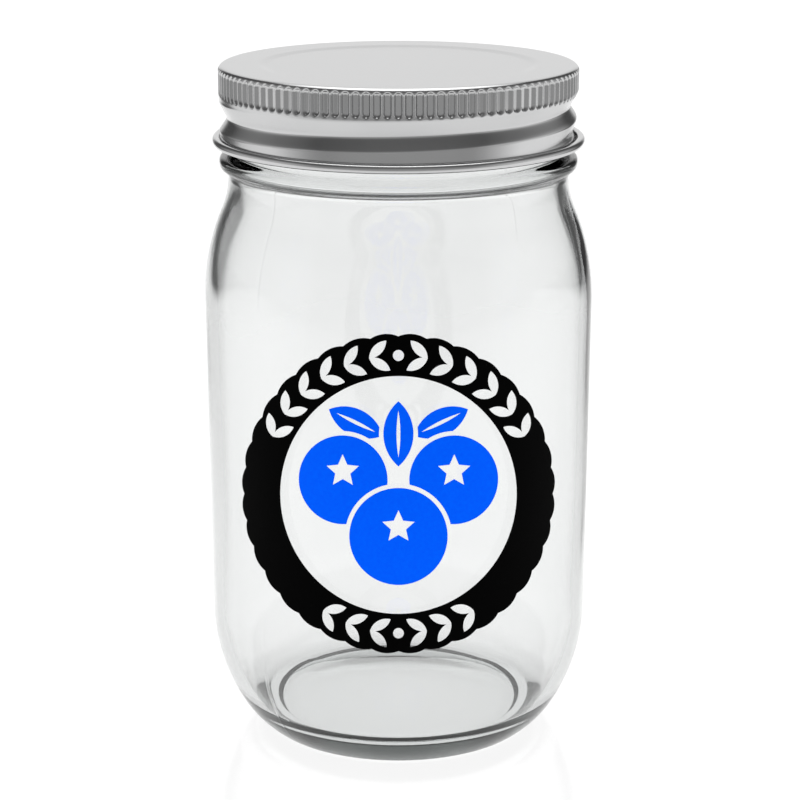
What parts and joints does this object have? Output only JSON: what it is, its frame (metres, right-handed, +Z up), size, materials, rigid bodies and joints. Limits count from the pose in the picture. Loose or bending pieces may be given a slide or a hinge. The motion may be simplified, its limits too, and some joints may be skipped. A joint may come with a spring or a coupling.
{
  "type": "mason jar",
  "caption": "Straight-walled round glass jar with rounded shoulder and heel, ring print on the front, and a fluted one-piece metal screw cap.",
  "frame": {"origin": "middle of the base's bearing ring, on the plane the jar stands on", "axes": "+Z up along the jar's axis, -Y towards the printed front"},
  "size_m": [0.0794, 0.0795, 0.1391],
  "materials": {
    "glass": "clear moulded soda-lime glass",
    "tinplate": "satin, lacquered",
    "plastisol": "matte",
    "black_ink": "screen-printed ink",
    "blue_ink": "screen-printed ink"
  },
  "bodies": {
    "jar": {"glass_jar": "glass", "print_black_border": "black_ink", "print_blue_berries": "blue_ink", "print_blue_leaves": "blue_ink"},
    "liner": {"cap_gasket": "plastisol"},
    "cap": {"cap_shell": "tinplate"}
  },
  "joints": [
    {"name": "cap_rise", "type": "slide", "parent": "jar", "child": "liner", "axis": [0, 0, 1], "range_m": [0, 0.02032]},
    {"name": "cap_turn", "type": "hinge", "parent": "liner", "child": "cap", "pos_m": [0, 0, 0.1391], "axis": [0, 0, 1], "range_deg": [0, 1440]}
  ],
  "couplings": [
    {"joint": "cap_rise", "follows": "cap_turn", "m_per_rad": 0.00080851}
  ]
}
